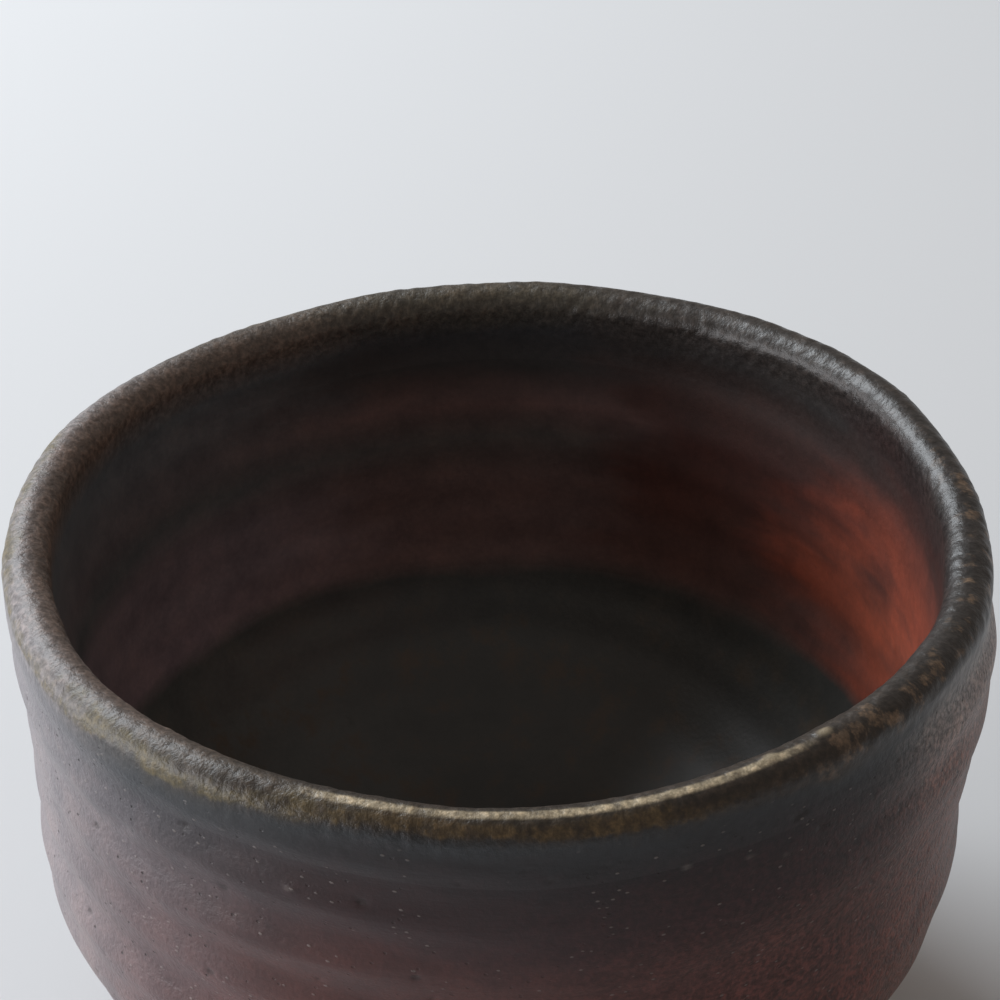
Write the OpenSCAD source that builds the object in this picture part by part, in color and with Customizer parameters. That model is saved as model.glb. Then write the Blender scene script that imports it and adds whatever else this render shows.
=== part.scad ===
// A matcha bowl of the half-cylinder form: a thrown stoneware body standing on a luted foot ring.
// Iron slip covers its walls, and ash glaze covers its lip and the well that the tea lies in.
// Every piece is turned about +Z. The origin is at the centre of the standing face.

/* [Bowl] */
// Diameter across the finished lip
rim_d = 121; // [112:1:130]
// Height from the standing face to the top of the lip
bowl_h = 80; // [76:1:88]
// Thickness of the finished lip
lip_t = 5.8; // [5:0.2:7]
// Diameter at the hip, where the upright wall turns in towards the foot
hip_d = 117; // [110:1:120]
// Height of the hip
hip_h = 39; // [34:1:44]

/* [Inside] */
// Diameter of the inside where the upright wall turns in to the well
well_d = 106; // [100:1:107]
// Height at which the inside turns in to the well
well_h = 54; // [50:1:58]
// Thickness of the finished floor at its middle
floor_t = 5.5; // [5:0.5:8]

/* [Foot] */
// Outer diameter of the foot ring where it meets the bowl
foot_d = 60; // [56:1:64]
// Height of the bowl's underside above the standing face
foot_h = 7; // [6:0.5:8]
// Thickness of the foot ring's wall
foot_t = 6.5; // [5:0.5:8]

/* [Coats] */
// Thickness of the slip and ash glaze coats
coat_t = 0.5; // [0.3:0.1:0.8]
// Thickness of the luting slip between the foot ring and the bowl
luting_t = 0.4; // [0.2:0.1:0.6]

/* [Fineness] */
// Straight pieces that each of the five stretches of the bowl's outline is made of
curve_steps = 14; // [8:1:20]

/* [Hidden] */
$fn = 120;

rim_r = rim_d / 2;
hip_r = hip_d / 2;
well_r = well_d / 2;
lip_r = lip_t / 2;
lip_h = bowl_h - lip_r;
floor_h = foot_h + floor_t;
foot_r = foot_d / 2;
foot_bore_r = foot_r - foot_t;
foot_top = foot_h - luting_t;

// The clay's flat seat reaches this far outside the foot ring.
seat_margin = 2.2;
// The hollow fillet that the luting slip leaves in both corners of the joint
fillet_r = 1.6;
// The foot ring's standing face is this much narrower than its wall on each side.
foot_draft = 1;
// Width of the worn edge on each side of the standing face
foot_edge = 0.8;
// The small boss that the trimming tool leaves at the middle of the underside
boss_r = 6;
boss_h = 1.4;
boss_steps = 8;

// The finished surface is one outline that starts beside the foot at 0. It runs up the base to 1,
// up the outer wall to 2, over the lip to 3, down the inner wall to 4 and over the floor to 5.
// The coats meet at these places along it.
bare_clay_end = 0.35;
outer_slip_end = 1.86;
lip_ash_end = 3.3;
inner_slip_end = 4.2;

// Half a cosine wave from one point to another: both of its ends are upright.
function upright(from, to, t) = [
    from.x + (to.x - from.x) * (1 - cos(180 * t)) / 2,
    from.y + (to.y - from.y) * t
];

// The base is part of an ellipse, from the edge of the foot's seat out to the hip.
base_start = asin((foot_r + seat_margin) / hip_r);
base_drop = (hip_h - foot_h) / cos(base_start);
function base(t) =
    let (a = base_start + (90 - base_start) * t)
    [hip_r * sin(a), hip_h - base_drop * cos(a)];

// The lip is half a circle.
function lip(t) = [rim_r - lip_r + lip_r * cos(180 * t), lip_h + lip_r * sin(180 * t)];

// The floor is a quarter of a superellipse, from the inner wall to the bowl's axis.
// At a fullness of 1 it is an ellipse, and a lower value fills out the corner.
fullness = 0.84;
function spread(x) = sign(x) * pow(abs(x), fullness);
function hollow(t) = [well_r * spread(cos(90 * t)), well_h - (well_h - floor_h) * spread(sin(90 * t))];

function finished(s) =
    s < 1 ? base(s)
    : s < 2 ? upright([hip_r, hip_h], [rim_r, lip_h], s - 1)
    : s < 3 ? lip(s - 2)
    : s < 4 ? upright([rim_r - lip_t, lip_h], [well_r, well_h], s - 3)
    : hollow(s - 4);

// The clay lies one coat below the finished surface, square to it.
function clay(s) =
    let (
        d = finished(s + 0.001) - finished(s - 0.001),
        p = finished(s) - coat_t * [d.y, -d.x] / norm(d)
    )
    [max(p.x, 0), p.y];

// Places along the outline, from one coat's end to the other, either way
function places(from, to) =
    let (n = ceil(abs(to - from) * curve_steps))
    [for (i = [0 : n]) from + (to - from) * i / n];

function arc(centre, r, from, to, steps) =
    [for (i = [0 : steps]) let (a = from + (to - from) * i / steps) centre + r * [cos(a), sin(a)]];

module turned(outline) {
    rotate_extrude() polygon(outline);
}

// One coat, lying on the clay between two places
module coat(from, to) {
    on_clay = [for (s = places(from, to)) clay(s)];
    facing = [for (s = places(to, from)) finished(s)];
    turned(concat(on_clay, facing));
}

// The thrown body: wall, lip and floor, with the seat for the foot and the boss within it
module clay_body() {
    ends = [0, bare_clay_end, outer_slip_end, lip_ash_end, inner_slip_end, 5];
    wall = [for (i = [1 : len(ends) - 1], s = places(ends[i - 1], ends[i])) clay(s)];
    boss = [for (i = [0 : boss_steps])
        [boss_r * i / boss_steps, foot_h - boss_h * (1 + cos(180 * i / boss_steps)) / 2]];
    color([0.36, 0.22, 0.17]) turned(concat(boss, [[wall[0].x, foot_h]], wall));
}

// The foot ring: upright where the fillets meet it, drawn in below, and flat where it stands
module foot_ring() {
    draft_top = foot_top - fillet_r;
    color([0.30, 0.19, 0.15])
        turned([
            [foot_bore_r, foot_top],
            [foot_bore_r, draft_top],
            [foot_bore_r + foot_draft, foot_edge],
            [foot_bore_r + foot_draft + foot_edge, 0],
            [foot_r - foot_draft - foot_edge, 0],
            [foot_r - foot_draft, foot_edge],
            [foot_r, draft_top],
            [foot_r, foot_top]
        ]);
}

// The luting slip: a thin layer on the foot ring, squeezed out to a fillet on both sides
module luting_slip() {
    fillet_h = foot_h - fillet_r;
    inner_fillet = arc([foot_bore_r - fillet_r, fillet_h], fillet_r, 90, 0, 6);
    outer_fillet = arc([foot_r + fillet_r, fillet_h], fillet_r, 180, 90, 6);
    color([0.26, 0.17, 0.14])
        turned(concat(inner_fillet, [[foot_bore_r, foot_top], [foot_r, foot_top]], outer_fillet));
}

module outer_slip() {
    color([0.27, 0.19, 0.19]) coat(bare_clay_end, outer_slip_end);
}

module lip_ash_glaze() {
    color([0.36, 0.31, 0.24]) coat(outer_slip_end, lip_ash_end);
}

module inner_slip() {
    color([0.50, 0.20, 0.15]) coat(lip_ash_end, inner_slip_end);
}

module well_ash_glaze() {
    color([0.13, 0.13, 0.12]) coat(inner_slip_end, 5);
}

clay_body();
foot_ring();
luting_slip();
outer_slip();
lip_ash_glaze();
inner_slip();
well_ash_glaze();
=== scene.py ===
"""A half-cylinder matcha bowl in wood-fired stoneware: its clay, its foot and the four coats on it."""
import math

import bpy
import numpy as np
from mathutils import Matrix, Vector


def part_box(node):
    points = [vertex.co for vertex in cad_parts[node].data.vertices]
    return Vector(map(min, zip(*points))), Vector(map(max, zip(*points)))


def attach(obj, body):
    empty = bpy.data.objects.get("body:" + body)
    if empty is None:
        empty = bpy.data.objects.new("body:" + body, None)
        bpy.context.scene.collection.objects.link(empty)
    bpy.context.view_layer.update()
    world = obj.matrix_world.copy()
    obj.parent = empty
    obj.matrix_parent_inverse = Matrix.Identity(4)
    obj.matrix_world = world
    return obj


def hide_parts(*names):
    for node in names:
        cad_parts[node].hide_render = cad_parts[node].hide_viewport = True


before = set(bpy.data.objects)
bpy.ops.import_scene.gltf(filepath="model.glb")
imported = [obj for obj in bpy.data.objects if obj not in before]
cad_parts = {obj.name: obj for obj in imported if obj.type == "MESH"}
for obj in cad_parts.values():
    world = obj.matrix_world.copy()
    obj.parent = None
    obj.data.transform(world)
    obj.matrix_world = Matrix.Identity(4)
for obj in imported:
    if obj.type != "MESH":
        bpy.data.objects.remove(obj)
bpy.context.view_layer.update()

# ---------------------------------------------------------------- sizes, in millimetres
MM = 0.001
TURN = 2 * np.pi


def reach(node):
    """A CAD node's largest radius, lowest height and highest height."""
    low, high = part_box(node)
    return high.x / MM, low.z / MM, high.z / MM


rim_r, _, bowl_h = reach("lip_ash_glaze")
foot_r, _, foot_top = reach("foot_ring")
_, fillet_low, seat_h = reach("luting_slip")

lip_r = 2.9
lip_h = bowl_h - lip_r
hip_r, hip_h = 58.5, 39.0
coat_t = 0.5

# The inside: where its wall turns in, the height of its floor, and how square that turn is
well_r, well_h = 53.0, 54.0
floor_h = 12.5
fullness = 0.84

# The foot, and the ledge round it from which the base curves out
foot_wall = 6.5
foot_ledge = 2.2
foot_bore_r = foot_r - foot_wall
fillet_r = seat_h - fillet_low
seat_r = foot_r + foot_ledge
base_start = math.asin(seat_r / hip_r)
base_drop = (hip_h - seat_h) / math.cos(base_start)

# Places along the outline at which one coat ends and the next begins, and the last one before
# the axis
BARE_END, OUTER_END, LIP_END, INNER_END, POLE = 0.35, 1.86, 3.3, 4.2, 4.993

# Points round the bowl, and the distance from the lip that bare clay is given away from the wall
COLUMNS = 640
BARE = -100.0


# ---------------------------------------------------------------- the thrown surface
def upright(start, end, t):
    """Half a cosine wave from one (radius, height) to another, upright at both ends."""
    wave = (1 - np.cos(np.pi * t)) / 2
    return start[0] + (end[0] - start[0]) * wave, start[1] + (end[1] - start[1]) * t


def outline(s):
    """Radius and height at place s: 0 beside the foot, 1 the hip, 2 and 3 the lip's two sides,
    4 where the inside turns in, 5 the middle of the well. The base is part of an ellipse, both
    walls are half cosine waves, the lip is half a circle and the floor is a superellipse."""
    turn = base_start + (np.pi / 2 - base_start) * s
    lip_turn = np.pi * (s - 2)
    floor_turn = np.pi / 2 * np.clip(s - 4, 0, 1.01)
    across, down = np.cos(floor_turn), np.sin(floor_turn)
    spread = np.sign(across) * np.abs(across) ** fullness
    stretches = [
        (hip_r * np.sin(turn), hip_h - base_drop * np.cos(turn)),
        upright((hip_r, hip_h), (rim_r, lip_h), s - 1),
        (rim_r - lip_r + lip_r * np.cos(lip_turn), lip_h + lip_r * np.sin(lip_turn)),
        upright((rim_r - 2 * lip_r, lip_h), (well_r, well_h), s - 3),
        (well_r * spread, well_h - (well_h - floor_h) * down**fullness),
    ]
    which = [s < 1, s < 2, s < 3, s < 4, s >= 4]
    r = np.select(which, [part[0] for part in stretches])
    return r, np.select(which, [part[1] for part in stretches])


dense = np.linspace(0, 5, 5001)
dense_r, dense_h = outline(dense)
dense_len = np.concatenate([[0], np.cumsum(np.hypot(np.diff(dense_r), np.diff(dense_h)))])
crest_len = np.interp(2.5, dense, dense_len)


def from_lip(s):
    """Millimetres along the outline from the lip's crest: negative outside, positive inside."""
    return np.interp(s, dense, dense_len) - crest_len


def place_at(length):
    """The place on the outline that lies so many millimetres from the lip's crest."""
    return np.interp(length + crest_len, dense_len, dense)


def ease(x, low, high):
    """0 at low and before, 1 at high and past it, and a smooth step between. With the ends
    changed over it falls instead."""
    t = np.clip((x - low) / (high - low), 0, 1)
    return t * t * (3 - 2 * t)


def waves(phi, sizes):
    """A sum of cosines and sines: sizes holds the count round the bowl and both heights."""
    return sum(c * np.cos(k * phi) + d * np.sin(k * phi) for k, c, d in sizes)


def ripple(phi, away, size, seed, stretch=1.0, count=24):
    """A random field on the unrolled wall, of about unit height: a sum of seeded plane waves about
    `size` millimetres long, `stretch` times longer round the bowl than up it. Each wave's cosine
    is split into products of one function of the angle and one of the distance from the lip."""
    draw = np.random.default_rng(seed)
    heading = draw.uniform(0, TURN, count)
    pace = TURN / (size * draw.uniform(0.7, 1.5, count))
    start = draw.uniform(0, TURN, count)
    turns = np.rint(pace * np.cos(heading) * rim_r / stretch)
    round_part = phi.T * turns
    up_part = away * pace * np.sin(heading) + start
    field = np.cos(up_part) @ np.cos(round_part).T - np.sin(up_part) @ np.sin(round_part).T
    return field / math.sqrt(count / 2)


def dents(phi, away, marks):
    """A sum of smooth bell-shaped marks on the unrolled wall. Each has its angle in degrees, its
    distance from the lip, its half length round the bowl, its half width and its height, in mm."""
    angle, place, half_length, half_width, height = np.array(marks, float).T
    turn = (phi.T - np.radians(angle) + np.pi) % TURN - np.pi
    across = height * np.exp(-((away - place) / half_width) ** 2)
    along = np.exp(-((turn * rim_r / half_length) ** 2))
    return across @ along.T


def scattered(seed, count, low, high, length, width, height):
    """Seeded marks for dents(), between two distances from the lip. Their sizes vary from half of
    what is given to 1.4 times it."""
    draw = np.random.default_rng(seed)
    scale = draw.uniform(0.5, 1.4, count)
    angles, places = draw.uniform(0, 360, count), draw.uniform(low, high, count)
    return np.stack([angles, places, length * scale, width * scale, height * scale], -1)


# The lip's wander, as waves(): outwards, and upwards. It grows between the two heights.
WANDER_LOW, WANDER_FULL = 36, 74
LIP_OUT_OF_ROUND = [(2, 0.05, 0.12), (3, -0.03, 0.04), (4, -0.13, -0.12), (5, -0.03, -0.05)]
LIP_OUT_OF_LEVEL = [(2, -0.05, 0.14), (3, -0.3, 0.17), (4, -0.14, -0.12), (5, -0.28, 0.38)]

# The height and pitch of the throwing rings outside and inside, and how far they wander
RING_HEIGHT, RING_PITCH = 0.26, 8.5
INNER_RING_HEIGHT, INNER_RING_PITCH = 0.05, 6.0
RING_DRIFT, RING_WANDER = 1.6, [(1, 0.6, 0.8), (2, 0.5, -0.3), (3, 0.2, 0.4)]

# Uneven clay: each part's height, then its size, seed, stretch and number of waves for ripple()
OUTER_UNEVEN = [(0.10, 11, 2, 6, 24), (0.035, 3.5, 3, 4, 24)]
INNER_UNEVEN = [(0.05, 12, 4, 4, 24)]
LIP_UNEVEN = [(0.022, 2.2, 5, 1.0, 32), (0.05, 9, 6, 1.5, 24)]

# The swelling of the wall under the lip: its height and spread, how far it stands out all round
# and on the right, the heights between which it fades into the lip, and the place on the
# outline where the outside ends
SWELL_H, SWELL_SPREAD = 63, 9
SWELL_ROUND, SWELL_RIGHT = 0.45, 0.85
SWELL_FADES, SWELL_GONE = 70, 76.5
SWELL_END = 2.2

# Marks for dents(), single ones first and then scattered ones
THUMB_DENT = [(-137, -16, 2.4, 1.0, -0.5), (-134, -17.2, 3.5, 1.1, 0.22),
              (-139.5, -14.8, 3.0, 0.9, 0.15)]
INNER_SCRATCH = [(38, 29.5, 6.0, 0.5, 0.05)]
LIP_KNOBS = [(-58.6, 0.2, 1.1, 0.8, 0.22), (-50.9, 0.1, 1.3, 0.8, 0.24),
             (-132, 2.6, 0.8, 0.7, 0.16)]
WELL_STONE = [(122, 62, 0.9, 0.9, 0.1)]
OUTER_PITS = scattered(5, 320, -84, -7, 0.50, 0.40, -0.16)
OUTER_GRIT = scattered(6, 240, -84, -7, 0.75, 0.42, 0.10)
LIP_CRUMBS = np.concatenate([LIP_KNOBS, scattered(8, 70, -4, 5, 0.6, 0.5, 0.05)])
INNER_GRIT = np.concatenate([WELL_STONE, scattered(9, 60, 10, 60, 0.6, 0.5, 0.05)])


def marks(phi, away, outside, inside, on_lip):
    """The height of the pits, grit and crumbs, in mm, which also have a colour of their own."""
    outer = dents(phi, away, OUTER_PITS) + dents(phi, away, OUTER_GRIT)
    crumbs, inner = dents(phi, away, LIP_CRUMBS), dents(phi, away, INNER_GRIT)
    return outside * outer + on_lip * crumbs + inside * inner


def uneven(phi, away, parts):
    """A sum of random fields, each times its own height."""
    return sum(height * ripple(phi, away, *field) for height, *field in parts)


def zones(away):
    """The share of outer wall, inside and lip at a distance from the lip's crest."""
    outside = 1 - ease(away, -10, -3)
    inside = ease(away, 3, 12)
    return outside, inside, np.clip(1 - outside - inside, 0, 1)


def relief(s, phi, r, h):
    """How far the finished surface stands out of the smooth one, along its normal, in millimetres.
    Outside it is a sine of the height plus the angle, so that the throwing rings climb as a
    spiral, strongest on the left, and inside it is a fainter one that climbs the other way. To
    both are added uneven clay and the marks. The lip has no rings, only bumps."""
    away = from_lip(s)
    outside, inside, on_lip = zones(away)
    drift = RING_DRIFT * waves(phi, RING_WANDER)
    climb = RING_PITCH * phi / TURN
    strength = np.clip(0.55 - 0.35 * np.cos(phi) + 0.35 * ripple(phi, away, 30, 1, 3, 12), 0, 1.2)
    rings = RING_HEIGHT * np.sin(TURN * (h + climb + drift) / RING_PITCH) * strength
    rings = (rings + uneven(phi, away, OUTER_UNEVEN)) * ease(h, 12, 22)
    inner_climb = INNER_RING_PITCH * phi / TURN
    inner_rings = INNER_RING_HEIGHT * np.sin(TURN * (h - inner_climb + drift) / INNER_RING_PITCH)
    inner_rings = (inner_rings + uneven(phi, away, INNER_UNEVEN)) * ease(r, 6, 30)
    outer = outside * (rings + dents(phi, away, THUMB_DENT))
    inner = inside * (inner_rings + dents(phi, away, INNER_SCRATCH))
    lip = on_lip * uneven(phi, away, LIP_UNEVEN)
    return outer + inner + lip + marks(phi, away, outside, inside, on_lip)


def round_axis(r, h, phi):
    """Points, in metres, at radii and heights in millimetres and angles round the axis."""
    return np.stack(np.broadcast_arrays(r * np.cos(phi), r * np.sin(phi), h), -1) * MM


def surface(s, phi, depth=0.0):
    """Points, in metres, at place s and angle phi, `depth` millimetres below the finished surface.
    The outline is turned about the axis and pushed along its own normal by the relief. Towards
    the lip it also wanders in radius and height, and under the lip the wall stands out by a
    bell-shaped swelling, widest on the right."""
    r, h = outline(s)
    step = 1e-3
    r1, h1 = outline(s + step)
    r0, h0 = outline(s - step)
    run, rise = r1 - r0, h1 - h0
    long = np.hypot(run, rise)
    out_r, out_h = rise / long, -run / long
    near_lip = ease(h, WANDER_LOW, WANDER_FULL)
    bell = np.exp(-((h - SWELL_H) / SWELL_SPREAD) ** 2) * ease(h, SWELL_GONE, SWELL_FADES)
    swell = np.where(s < SWELL_END, bell, 0) * (SWELL_ROUND + SWELL_RIGHT * np.cos(phi))
    push = relief(s, phi, r, h) - depth
    rr = r + near_lip * waves(phi, LIP_OUT_OF_ROUND) + swell + push * out_r
    hh = h + near_lip * waves(phi, LIP_OUT_OF_LEVEL) + push * out_h
    return round_axis(rr, hh, phi)


def facing(s, phi):
    """The surface's unit normals: the cross product of its two small steps along s and phi."""
    step = 4e-3
    along = surface(s + step, phi) - surface(s - step, phi)
    around = surface(s, phi + step) - surface(s, phi - step)
    n = np.cross(around, along)
    return n / np.maximum(np.linalg.norm(n, axis=-1, keepdims=True), 1e-12)


def ring_faces(rows, closed):
    """Quads of a grid that wraps round its columns, and round its rows too if it is closed."""
    i = np.arange(rows if closed else rows - 1)[:, None]
    j = np.arange(COLUMNS)[None, :]
    a, b = i * COLUMNS, (i + 1) % rows * COLUMNS
    k = (j + 1) % COLUMNS
    return np.stack([a + j, a + k, b + k, b + j], -1).reshape(-1, 4)


def solid(name, points, lengths, normals=None, closed=True, crust=None):
    """A closed mesh from rows of points round the axis, which keeps each point's distance from
    the lip and the height of the marks at it. A grid that isn't closed on itself has its first
    and last rows drawn in to a point on the axis."""
    rows = len(points)
    verts = points.reshape(-1, 3)
    quads = ring_faces(rows, closed)
    faces = quads.tolist()
    away = np.repeat(lengths, COLUMNS)
    crust = np.zeros(len(verts)) if crust is None else crust.ravel()
    if not closed:
        count = len(verts)
        tips = np.stack([points[0].mean(0), points[-1].mean(0)])
        tips[:, :2] = 0
        verts = np.concatenate([verts, tips])
        away = np.concatenate([away, lengths[[0, -1]]])
        crust = np.concatenate([crust, [0, 0]])
        j = np.arange(COLUMNS)
        k = (j + 1) % COLUMNS
        last = (rows - 1) * COLUMNS
        faces += np.stack([np.full(COLUMNS, count), k, j], -1).tolist()
        faces += np.stack([np.full(COLUMNS, count + 1), last + j, last + k], -1).tolist()
    mesh = bpy.data.meshes.new(name)
    mesh.from_pydata(verts, [], faces)
    if signed_volume(verts, quads) < 0:
        mesh.flip_normals()
    for key, values in (("from_lip", away), ("crust", crust)):
        kept = mesh.attributes.new(key, "FLOAT", "POINT")
        kept.data.foreach_set("value", values.astype(np.float32))
    mesh.shade_smooth()
    piece = bpy.data.objects.new(name, mesh)
    bpy.context.scene.collection.objects.link(piece)
    if normals is not None:
        custom = normals.reshape(-1, 3)
        if not closed:
            custom = np.concatenate([custom, [[0, 0, 1], [0, 0, -1]]])
        mesh.normals_split_custom_set_from_vertices(custom.tolist())
    return piece


def signed_volume(verts, quads):
    """Six times the volume that the quads enclose, positive if they face outwards."""
    a, b, c, d = (verts[quads[:, i]] for i in range(4))
    first = np.cross(b - a, c - a) * (a + b + c)
    second = np.cross(c - a, d - a) * (a + c + d)
    return first.sum() + second.sum()


phi = (np.arange(COLUMNS) * TURN / COLUMNS)[None, :]


def spaced(start, end, rows):
    """Places between two ends of a coat, evenly spaced along the surface."""
    lengths = np.linspace(from_lip(start), from_lip(end), rows)
    return place_at(lengths)[:, None]


def coat(name, start, end, rows, back_rows, closed=True):
    """One coat: its finished face, then its face on the clay, as rows that close into a loop or,
    in the well, on the axis."""
    front, back = spaced(start, end, rows), spaced(end, start, back_rows)
    both = np.concatenate([front, back])
    points = np.concatenate([surface(front, phi), surface(back, phi, coat_t)])
    normals = np.concatenate([facing(front, phi), -facing(back, phi)])
    crust = marks(phi, from_lip(both), *zones(from_lip(both)))
    return solid(name, points, from_lip(both)[:, 0], normals, closed, crust)


outer_slip = coat("outer_slip_coat", BARE_END, OUTER_END, 138, 8)
lip_ash = coat("lip_ash_coat", OUTER_END, LIP_END, 84, 12)
inner_slip = coat("inner_slip_coat", LIP_END, INNER_END, 100, 8)
well_ash = coat("well_ash_coat", POLE, INNER_END, 80, 12, closed=False)

# The trimmed base inside the foot: a spiral groove of sine section round a low boss, which falls
# away between two radii. It runs from close to the axis to just inside the ledge.
UNDER_ROWS = 80
UNDER_IN, UNDER_OUT = 0.8, seat_r - 0.5
GROOVE_HEIGHT, GROOVE_PITCH = 0.16, 2.6
BOSS_HEIGHT, BOSS_IN, BOSS_OUT = 1.4, 4.5, 7.0

under_r = np.linspace(UNDER_IN, UNDER_OUT, UNDER_ROWS)[:, None]
trimmed = ease(under_r, 6, 9) * (1 - ease(under_r, foot_bore_r - 4, foot_bore_r - 1))
groove = GROOVE_HEIGHT * np.sin(TURN * (under_r / GROOVE_PITCH + phi / TURN)) * trimmed
under_h = seat_h - BOSS_HEIGHT * (1 - ease(under_r, BOSS_IN, BOSS_OUT)) + groove
under = round_axis(under_r, under_h, phi)
clay_places = np.concatenate([spaced(0, BARE_END, 20), spaced(BARE_END, POLE, 50)[1:]])
clay_points = np.concatenate([under, surface(clay_places, phi, coat_t)])
clay_lengths = np.concatenate([np.full(UNDER_ROWS, BARE), from_lip(clay_places[:, 0])])
clay = solid("thrown_clay_body", clay_points, clay_lengths, closed=False)


def lathe(name, profile, wobble):
    """A ring turned about the axis from a closed outline of (radius, height) points, in
    millimetres, whose radius wanders a little on its way round."""
    r, h = np.array(profile, float).T[:, :, None]
    r = r + wobble * waves(phi, [(2, 0.6, -0.3), (3, 0.2, 0.5), (7, 0.15, 0.1)])
    return solid(name, round_axis(r, h, phi), np.full(len(profile), BARE))


def quarter(centre, radius, start, end, count):
    """Points of an arc about a (radius, height) centre, from one angle to another in degrees."""
    angles = np.radians(np.linspace(start, end, count))
    return [(centre[0] + radius * math.cos(a), centre[1] + radius * math.sin(a)) for a in angles]


# The foot narrows a little towards its rounded standing edge, which is set in on both sides
foot_wobble = 0.25
foot_narrow, foot_narrow_h = 0.5, 2.9
edge_r, edge_in = 1.0, 2.0
draft_h = foot_top - fillet_r

foot = lathe("luted_foot_ring", [
    (foot_bore_r, foot_top), (foot_bore_r, draft_h), (foot_bore_r + foot_narrow, foot_narrow_h),
    *quarter((foot_bore_r + edge_in, edge_r), edge_r, 180, 270, 9),
    *quarter((foot_r - edge_in, edge_r), edge_r, 270, 360, 9),
    (foot_r - foot_narrow, foot_narrow_h), (foot_r, draft_h), (foot_r, foot_top)], foot_wobble)
luting = lathe("luting_slip_fillet", [
    *quarter((foot_bore_r - fillet_r, fillet_low), fillet_r, 90, 0, 9), (foot_bore_r, foot_top),
    (foot_r, foot_top), *quarter((foot_r + fillet_r, fillet_low), fillet_r, 180, 90, 9)], 0.0)


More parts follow.
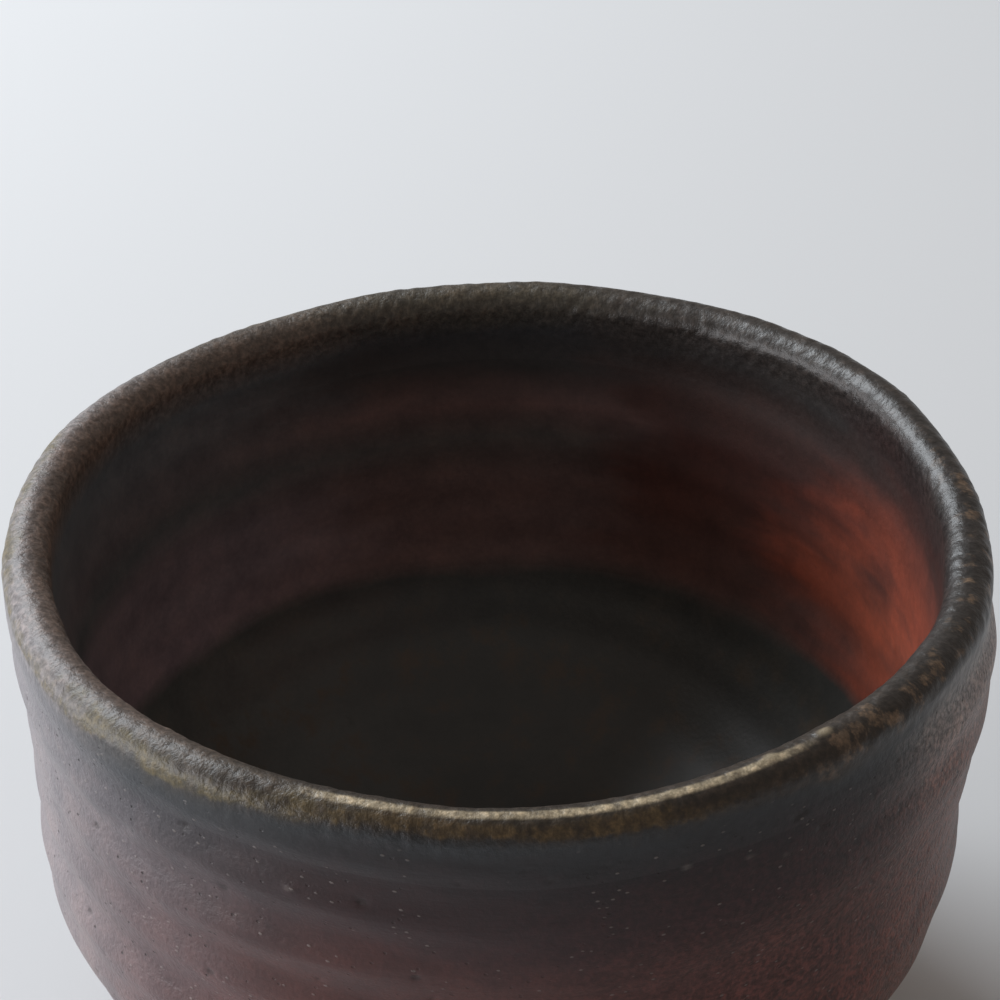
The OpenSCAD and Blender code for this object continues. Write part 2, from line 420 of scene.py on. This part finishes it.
# ---------------------------------------------------------------- materials
class Finish:
    """A material under construction. Its patterns run along and round the bowl: `away` is the
    distance from the lip's crest in millimetres, and noise is stretched along the turning."""

    def __init__(self, name):
        self.material = bpy.data.materials.new(name)
        self.material.use_nodes = True
        self.tree = self.material.node_tree
        self.tree.nodes.clear()
        self.coords = self.add("ShaderNodeTexCoord", out="Object")
        self.away = self.add("ShaderNodeAttribute", out="Fac", attribute_name="from_lip")
        parts = self.add("ShaderNodeSeparateXYZ", self.coords, out=None)
        self.x, self.y = parts.outputs["X"], parts.outputs["Y"]
        r = self.math("SQRT", self.line(self.x, self.x, self.times(self.y, self.y)))
        self.right = self.math("DIVIDE", self.x, r)
        self.back = self.math("DIVIDE", self.y, r)

    def add(self, kind, *values, out=0, **settings):
        """Adds a node, sets it up, and fills its inputs in order with numbers or sockets."""
        made = self.tree.nodes.new(kind)
        for key, value in settings.items():
            setattr(made, key, value)
        for socket, value in zip([i for i in made.inputs if i.enabled], values):
            self.fill(socket, value)
        return made.outputs[out] if out is not None else made

    def fill(self, socket, value):
        """Joins a socket to an input, or sets the input to a number or colour."""
        if isinstance(value, bpy.types.NodeSocket):
            self.tree.links.new(value, socket)
        elif value is not None:
            socket.default_value = value

    def math(self, operation, *values):
        """Arithmetic on numbers or sockets."""
        return self.add("ShaderNodeMath", *values, operation=operation)

    def times(self, one, other):
        """The product of two values."""
        return self.math("MULTIPLY", one, other)

    def line(self, value, slope, start):
        """slope times a value, plus start."""
        return self.math("MULTIPLY_ADD", value, slope, start)

    def step(self, value, low, high, start=0.0, end=1.0):
        """A smooth step from start to end as the value goes from low to high."""
        smooth = "SMOOTHSTEP"
        return self.add("ShaderNodeMapRange", value, low, high, start, end, interpolation_type=smooth)

    def mix(self, share, one, other, blend="MIX"):
        """One colour, and a share of the other over it."""
        one, other = (v if isinstance(v, bpy.types.NodeSocket) else (*v, 1) for v in (one, other))
        return self.add("ShaderNodeMix", share, one, other, data_type="RGBA", blend_type=blend, out=2)

    def turned(self, length, width, shift=0.0):
        """Coordinates in which one unit is `length` mm round the bowl and `width` mm along its
        outline."""
        scale = 1 / (length * MM)
        x, y = self.times(self.x, scale), self.times(self.y, scale)
        return self.add("ShaderNodeCombineXYZ", x, y, self.line(self.away, 1 / width, shift))

    def strands(self, length, width, shift=0.0, detail=2.0, rough=0.5):
        """Noise drawn out across the lip: it depends on the angle round the bowl, not the radius."""
        turns = rim_r / length
        x, y = self.times(self.right, turns), self.times(self.back, turns)
        place = self.add("ShaderNodeCombineXYZ", x, y, self.line(self.away, 1 / width, shift))
        return self.add("ShaderNodeTexNoise", place, 1.0, detail, rough, out="Fac")

    def band(self, value, start, full, still, end):
        """1 between full and still, falling smoothly to 0 at start and end."""
        return self.times(self.step(value, start, full), self.step(value, end, still))

    def streaks(self, length, width, shift=0.0, detail=3.0, rough=0.5):
        """Noise drawn out along the turning."""
        place = self.turned(length, width, shift)
        return self.add("ShaderNodeTexNoise", place, 1.0, detail, rough, out="Fac")

    def clouds(self, size, shift=0.0, detail=3.0, rough=0.5):
        """Noise of one size, in millimetres, every way. Its scale counts the clouds in a metre."""
        place = self.add("ShaderNodeVectorMath", self.coords, (shift, 0, 0), operation="ADD")
        return self.add("ShaderNodeTexNoise", place, 1000 / size, detail, rough, out="Fac")

    def spots(self, length, width, radius, share, shift=0.0):
        """Round-ended spots, one for some of the cells of that length and width: 1 in a spot."""
        cells = self.add("ShaderNodeTexVoronoi", self.turned(length, width, shift), 1.0, out=None)
        chosen = self.step(cells.outputs["Color"], 1 - share, 1 - share + 0.02)
        near = self.step(cells.outputs["Distance"], radius, radius * 0.45)
        return self.times(near, chosen)

    def ramp(self, value, low, high, stops):
        """Colours at places between low and high, blended from each to the next."""
        ramp = self.add("ShaderNodeValToRGB", self.add("ShaderNodeMapRange", value, low, high), out=None)
        points = ramp.color_ramp.elements
        while len(points) < len(stops):
            points.new(0.5)
        for point, (place, colour) in zip(points, stops):
            point.position = (place - low) / (high - low)
            point.color = (*colour, 1)
        return ramp.outputs["Color"]

    def finish(self, colour, rough, height, relief, **shader_values):
        """The shader itself. Height is in units of `relief` millimetres."""
        bump = self.add("ShaderNodeBump", 1.0, relief * MM, out=None)
        self.fill(bump.inputs["Height"], height)
        shader = self.add("ShaderNodeBsdfPrincipled", out=None)
        self.fill(shader.inputs["Base Color"], colour)
        self.fill(shader.inputs["Roughness"], rough)
        self.fill(shader.inputs["Normal"], bump.outputs["Normal"])
        for key, value in shader_values.items():
            shader.inputs[key].default_value = value
        output = self.add("ShaderNodeOutputMaterial", out=None)
        self.tree.links.new(shader.outputs["BSDF"], output.inputs["Surface"])
        return self.material


# Colours down the wall, at distances from the lip in millimetres
OUTSIDE_LEFT = [(-86, (0.090, 0.055, 0.047)), (-60, (0.108, 0.060, 0.058)), (-42, (0.118, 0.071, 0.073)),
                (-28, (0.112, 0.076, 0.080)), (-18, (0.110, 0.090, 0.098)), (-11, (0.070, 0.064, 0.073)),
                (-6.5, (0.020, 0.024, 0.030)), (-3, (0.050, 0.042, 0.032))]
# The front's wine colours, darkened partly by painted shade for the dimmer side towards the camera
OUTSIDE_FRONT_SHADED = [(-86, (0.070, 0.026, 0.021)), (-42, (0.100, 0.029, 0.023)), (-27, (0.076, 0.029, 0.026)),
                 (-18, (0.032, 0.012, 0.013)), (-12, (0.020, 0.008, 0.009)), (-7.8, (0.011, 0.008, 0.010)),
                 (-5.5, (0.014, 0.016, 0.019)), (-3, (0.024, 0.016, 0.010))]
OUTSIDE_RIGHT = [(-86, (0.090, 0.038, 0.026)), (-42, (0.130, 0.047, 0.033)), (-28, (0.130, 0.052, 0.040)),
                 (-18, (0.160, 0.080, 0.065)), (-11, (0.245, 0.185, 0.170)), (-8, (0.220, 0.200, 0.195)),
                 (-5.5, (0.034, 0.032, 0.031)), (-3, (0.025, 0.020, 0.017))]
INSIDE_LEFT = [(1, (0.118, 0.084, 0.068)), (4, (0.126, 0.092, 0.074)), (8, (0.104, 0.118, 0.130)),
               (18, (0.118, 0.102, 0.108)), (23, (0.086, 0.092, 0.096)), (29, (0.195, 0.155, 0.170)),
               (42, (0.215, 0.162, 0.178)), (45, (0.082, 0.089, 0.085))]
INSIDE_BACK = [(1, (0.060, 0.050, 0.034)), (7, (0.026, 0.027, 0.030)), (12, (0.030, 0.028, 0.028)),
               (18, (0.125, 0.076, 0.073)), (23, (0.090, 0.082, 0.080)), (29, (0.135, 0.090, 0.086)),
               (42, (0.145, 0.090, 0.084)), (45, (0.048, 0.053, 0.051))]
# A band of painted shade on the inside, between its back and its right
INSIDE_PAINTED_SHADE = [(1, (0.040, 0.034, 0.030)), (8, (0.026, 0.022, 0.021)), (13, (0.040, 0.019, 0.016)),
                (20, (0.058, 0.020, 0.016)), (30, (0.098, 0.042, 0.034)), (42, (0.110, 0.060, 0.052)),
                (45, (0.050, 0.052, 0.048))]
# The inside's right: the red slip, brightened in part by painted light where the window's light falls
INSIDE_RIGHT_LIT = [(1, (0.021, 0.018, 0.017)), (8, (0.025, 0.012, 0.011)), (11.5, (0.060, 0.018, 0.013)),
                (16, (0.150, 0.031, 0.016)), (22, (0.280, 0.053, 0.024)), (30, (0.390, 0.084, 0.041)),
                (42, (0.280, 0.064, 0.035)), (45, (0.052, 0.051, 0.047))]
OUTSIDE, OUTSIDE_SPAN = [OUTSIDE_LEFT, OUTSIDE_RIGHT, OUTSIDE_FRONT_SHADED], (-86, -3)
INSIDE, INSIDE_SPAN = [INSIDE_LEFT, INSIDE_BACK, INSIDE_PAINTED_SHADE, INSIDE_RIGHT_LIT], (1, 45)

# Colours of the ash, the lip and the marks
ASH_OLIVE, ASH_OCHRE = (0.088, 0.070, 0.030), (0.078, 0.050, 0.020)
# The cream is also a painted highlight along the crest in front
ASH_TAN, CREAM_ASH_AND_HIGHLIGHT = (0.175, 0.115, 0.072), (0.420, 0.345, 0.230)
LIP_UMBER, WELL_MOSS = (0.030, 0.021, 0.014), (0.070, 0.050, 0.032)
# The pale colour for the far left of the outer wall is a painted sheen
PAINTED_LEFT_SHEEN, PALE_GRIT = (0.30, 0.28, 0.295), (0.33, 0.29, 0.27)
IRON_SPOT = (0.014, 0.011, 0.010)

# What multiplies the colour at each value of the mottle and of the grain
MOTTLE_TONES = [(0.3, (0.78, 0.80, 0.82)), (0.5, (1, 1, 1)), (0.7, (1.22, 1.16, 1.12))]
SPECKLE_TONES = [(0.35, (0.40, 0.37, 0.36)), (0.5, (1, 1, 1)), (0.65, (1.9, 1.82, 1.78))]

# Bare clay: its grit, its iron spots, and how close its turning lines lie, across and up
CLAY_GRIT, CLAY_IRON = (0.34, 0.25, 0.20), (0.03, 0.018, 0.014)
TURNING_LINES = (120, 120, 1400)


def fired(name, gloss):
    """The fired surface: one set of colours and textures for all four coats, so that one fades
    into the next. It depends only on the distance from the lip and the place on the bowl."""
    f = Finish(name)

    # Distances from the lip and places round the bowl, wandering with the wisps of the firing
    wisps = f.streaks(26, 8, 3.0, 3.0, 0.6)
    ragged = f.strands(1.6, 5, 7.0, 3.0, 0.6)
    away = f.math("ADD", f.away, f.line(wisps, 9.0, f.line(ragged, 2.4, -5.7)))
    deep = f.math("ADD", f.away, f.line(wisps, 5.0, f.line(ragged, 0.8, -2.9)))
    shore = f.line(wisps, 0.6, f.right)
    front = f.line(f.right, 0.17, f.line(f.back, -0.985, f.line(wisps, 0.2, -0.1)))
    facing_front = f.step(front, 0.57, 0.89)

    # The outer wall, from left to right, with its front over both and a painted sheen far left, where the
    # wall catches the light at a grazing angle
    left, right, middle = (f.ramp(away, *OUTSIDE_SPAN, stops) for stops in OUTSIDE)
    outside = f.mix(f.step(shore, -0.4, 1.0), left, right)
    # The front blends in where the wall faces the camera; its darkness is partly painted shade
    outside = f.mix(facing_front, outside, middle)
    outside = f.mix(f.step(f.right, -0.66, -0.96, 0.0, 0.55), outside, PAINTED_LEFT_SHEEN)

    # The inside, from left to right: the slip's own colours, with a band of painted shade between its back
    # and its right, and a brighter red on the right that is partly painted light from the window
    left, back, shade, right = (f.ramp(deep, *INSIDE_SPAN, stops) for stops in INSIDE)
    inside = f.mix(f.step(shore, -0.5, 0.1), left, back)
    inside = f.mix(f.step(shore, 0.42, 0.74), inside, shade)
    inside = f.mix(f.step(shore, 0.98, 1.32), inside, right)
    inside = f.mix(f.times(f.band(f.away, 0, 1, 4, 7), facing_front), inside, LIP_UMBER)
    colour = f.mix(f.step(f.away, -3, 2.0), outside, inside)

    # Moss in the well, darker towards its middle, and a mottle over everything
    mottle = f.clouds(6, 0.3, 4.0, 0.65)
    in_well = f.step(f.away, 44, 56)
    colour = f.mix(f.times(f.step(mottle, 0.50, 0.68, 0.0, 0.7), in_well), colour, WELL_MOSS)
    colour = f.mix(f.step(f.away, 52, 62, 0.0, 0.22), colour, IRON_SPOT)
    colour = f.mix(1.0, colour, f.ramp(mottle, 0.3, 0.7, MOTTLE_TONES), "MULTIPLY")

    # Ash: an ochre border just below the lip, tan streaks front right and a cream crest in front, which is
    # partly ash and partly a painted highlight along the crest where it faces the camera
    patches = f.strands(2.8, 3.5, 5.0, 4.0, 0.65)
    edge = f.times(f.band(away, -4.4, -3.4, -2.4, -0.9), f.step(patches, 0.36, 0.60, 0.15, 0.9))
    ochre = f.mix(f.step(f.right, -0.6, -0.1), ASH_OLIVE, ASH_OCHRE)
    colour = f.mix(f.times(edge, f.step(f.right, 0.48, 0.30)), colour, ochre)
    streaked = f.times(f.band(away, -4.6, -3.2, 0.0, 1.2), f.step(patches, 0.50, 0.64))
    front_right = f.line(f.right, 0.94, f.times(f.back, -0.342))
    colour = f.mix(f.times(streaked, f.step(front_right, 0.72, 0.96, 0.05, 0.85)), colour, ASH_TAN)
    crest_front = f.line(f.right, 0.122, f.times(f.back, -0.9925))
    crested = f.times(f.step(crest_front, 0.85, 0.92), f.step(ragged, 0.28, 0.58, 0.35, 1.0))
    crest = f.times(f.band(f.away, -1.15, -0.55, -0.05, 0.5), crested)
    colour = f.mix(crest, colour, CREAM_ASH_AND_HIGHLIGHT)

    # Speckle, most of it on the right of the outer wall
    outer = f.step(f.away, -4, -8)
    on_lip = f.band(f.away, -7, -4, 4, 9)
    grain = f.clouds(0.75, 0.7, 2.5, 0.65)
    rugged = f.step(f.right, -0.2, 0.8, 0.14, 0.95)
    speckled = f.math("MAXIMUM", f.times(outer, rugged), f.line(on_lip, 0.5, 0.1))
    speckle = f.mix(1.0, colour, f.ramp(grain, 0.35, 0.65, SPECKLE_TONES), "MULTIPLY")
    colour = f.mix(speckled, colour, speckle)

    # Pale grit and dark pits, fewer of them in front, and the colour of the modelled marks
    calm = f.line(facing_front, -0.7, 1.0)
    grit = f.times(f.spots(1.9, 1.1, 0.18, 0.5), outer)
    pits = f.spots(1.6, 1.2, 0.18, 0.42, 40.0)
    outer_pits = f.times(f.times(pits, outer), calm)
    colour = f.mix(f.times(grit, 0.34), colour, PALE_GRIT)
    colour = f.mix(f.line(outer_pits, 0.6, f.times(pits, 0.1)), colour, IRON_SPOT)
    crust = f.add("ShaderNodeAttribute", out="Fac", attribute_name="crust")
    crumb = f.mix(on_lip, PALE_GRIT, CREAM_ASH_AND_HIGHLIGHT)
    colour = f.mix(f.step(crust, 0.05, 0.24, 0.0, 0.65), colour, crumb)
    colour = f.mix(f.step(crust, -0.04, -0.14, 0.0, 0.45), colour, IRON_SPOT)

    # Roughness: the lip is the glossiest, and the inner wall is matt
    matt = f.band(f.away, 9, 15, 38, 46)
    left_lip = f.times(on_lip, f.step(f.right, 0.25, -0.25))
    rough = f.line(left_lip, 0.07, f.line(on_lip, -0.03, 0.33))
    rough = f.line(matt, 0.16, f.line(grain, 0.20, rough))

    # Height: grain, turning streaks outside, grit and pits, and the ragged edge of the ash
    streak = f.streaks(4, 0.6, 2.0, 2.0, 0.6)
    outer_lift = f.times(f.times(outer, calm), f.step(f.right, -0.2, 0.8, 0.9, 1.5))
    lip_lift = f.math("ADD", f.line(on_lip, 0.36, 0.12), f.times(left_lip, 0.30))
    lift = f.math("MAXIMUM", outer_lift, lip_lift)
    height = f.line(f.times(streak, f.times(outer, 0.4)), 0.5, f.times(grain, lift))
    height = f.line(outer_pits, -0.8, f.line(grit, 0.3, height))
    height = f.line(f.times(ragged, on_lip), 0.45, height)
    shine = {"Specular IOR Level": gloss, "Sheen Weight": 0.04, "Sheen Roughness": 0.4}
    return f.finish(colour, rough, height, 0.22, **shine)


def bare_clay(name, pale, dark, size):
    """Unglazed stoneware: a matt clay with turning lines, dark iron spots and pale grit."""
    f = Finish(name)
    place = f.add("ShaderNodeMapping", f.coords, (0, 0, 0), (0, 0, 0), TURNING_LINES)
    lines = f.add("ShaderNodeTexNoise", place, 1.0, 3.0, 0.6, out="Fac")
    blotch = f.clouds(size, 0.1, 4.0, 0.6)
    colour = f.mix(f.step(f.math("ADD", lines, blotch), 0.75, 1.3), dark, pale)
    grit = f.clouds(0.7, 0.5, 2.0, 0.7)
    colour = f.mix(f.step(grit, 0.64, 0.72, 0.0, 0.5), colour, CLAY_GRIT)
    colour = f.mix(f.step(f.clouds(1.6, 0.9), 0.66, 0.72, 0.0, 0.8), colour, CLAY_IRON)
    return f.finish(colour, 0.82, f.math("ADD", grit, lines), 0.2)


# Each clay's pale and dark colour and the size of its blotches in millimetres
body_clay = bare_clay("bare_stoneware", (0.20, 0.105, 0.07), (0.10, 0.05, 0.036), 9)
foot_clay = bare_clay("foot_stoneware", (0.17, 0.09, 0.06), (0.08, 0.042, 0.03), 6)
luting_clay = bare_clay("luting_clay", (0.12, 0.065, 0.046), (0.06, 0.033, 0.025), 4)

# Each piece, the node that it stands for, its material slot and its finish
finishes = [
    (outer_slip, "outer_slip", "outer_slip", fired("iron_slip_outside", 0.43)),
    (lip_ash, "lip_ash_glaze", "lip_ash_glaze", fired("ash_on_the_lip", 0.53)),
    (inner_slip, "inner_slip", "inner_slip", fired("iron_slip_inside", 0.45)),
    (well_ash, "well_ash_glaze", "well_ash_glaze", fired("ash_in_the_well", 0.55)),
    (clay, "clay_body", "bare_clay", body_clay),
    (foot, "foot_ring", "foot_clay", foot_clay),
    (luting, "luting_slip", "luting_slip", luting_clay),
]
for piece, node, slot, finish in finishes:
    piece.data.materials.append(finish)
    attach(piece, "root")
    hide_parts(node)


def plain(name, colour, rough):
    """A material of one colour, for the floor."""
    made = bpy.data.materials.new(name)
    made.use_nodes = True
    shader = made.node_tree.nodes["Principled BSDF"]
    shader.inputs["Base Color"].default_value = (*colour, 1)
    shader.inputs["Roughness"].default_value = rough
    return made


# ---------------------------------------------------------------- floor, light and camera
bpy.ops.mesh.primitive_plane_add(size=6, location=(0, 0, 0))
floor = bpy.context.object
floor.name = "floor"
floor.data.materials.append(plain("pale_floor", (0.71, 0.72, 0.735), 0.9))


def aim(thing, place, target, roll=0.0):
    """Puts a lamp or camera at a place and points its -Z at a target, turned by roll degrees."""
    thing.location = place
    toward = np.array(target, float) - np.array(place, float)
    toward /= np.linalg.norm(toward)
    right = np.cross(toward, (0, 0, 1))
    right /= np.linalg.norm(right)
    up = np.cross(right, toward)
    c, s = math.cos(math.radians(roll)), math.sin(math.radians(roll))
    side, top = c * right + s * up, c * up - s * right
    thing.rotation_mode = "QUATERNION"
    thing.rotation_quaternion = Matrix(np.stack([side, top, -toward], -1).tolist()).to_quaternion()


def lamp(name, direction, distance, size, watts, colour):
    """A soft rectangular lamp, in a direction and at a distance in metres from the bowl."""
    light = bpy.data.lights.new(name, "AREA")
    light.shape = "RECTANGLE"
    light.size, light.size_y = size
    light.energy = watts
    light.color = colour
    thing = bpy.data.objects.new(name, light)
    bpy.context.scene.collection.objects.link(thing)
    d = np.array(direction, float)
    aim(thing, BOWL_MIDDLE + d / np.linalg.norm(d) * distance, BOWL_MIDDLE)
    thing.visible_camera = False


# Lamps: a window behind to the left, and a pale wall to the left
BOWL_MIDDLE = np.array([0, 0, 0.05])
lamp("window", (-0.57, 0.55, 0.61), 1.1, (0.70, 0.56), 11.8, (0.89, 0.95, 1.0))
lamp("pale_wall", (-0.95, -0.16, 0.13), 0.9, (1.0, 0.34), 6.6, (0.97, 0.97, 1.0))

world = bpy.data.worlds.new("room")
bpy.context.scene.world = world
world.use_nodes = True
glow = world.node_tree.nodes["Background"]
glow.inputs["Color"].default_value = (1.0, 0.90, 0.82, 1)
glow.inputs["Strength"].default_value = 0.26
bpy.context.scene.view_settings.view_transform = "Standard"

camera_data = bpy.data.cameras.new("camera")
camera = bpy.data.objects.new("camera", camera_data)
bpy.context.scene.collection.objects.link(camera)
camera_data.sensor_width = 36
camera_data.lens = 125.4

# The camera looks down across the front lip at a point just above the middle of the bowl's mouth
camera_tilt = math.radians(33.28)
camera_distance = 0.425
camera_roll = -0.51
target = np.array([0.23, 0, lip_h + 5.6]) * MM
place = target + camera_distance * np.array([0, -math.cos(camera_tilt), math.sin(camera_tilt)])
aim(camera, place, target, camera_roll)
bpy.context.scene.camera = camera
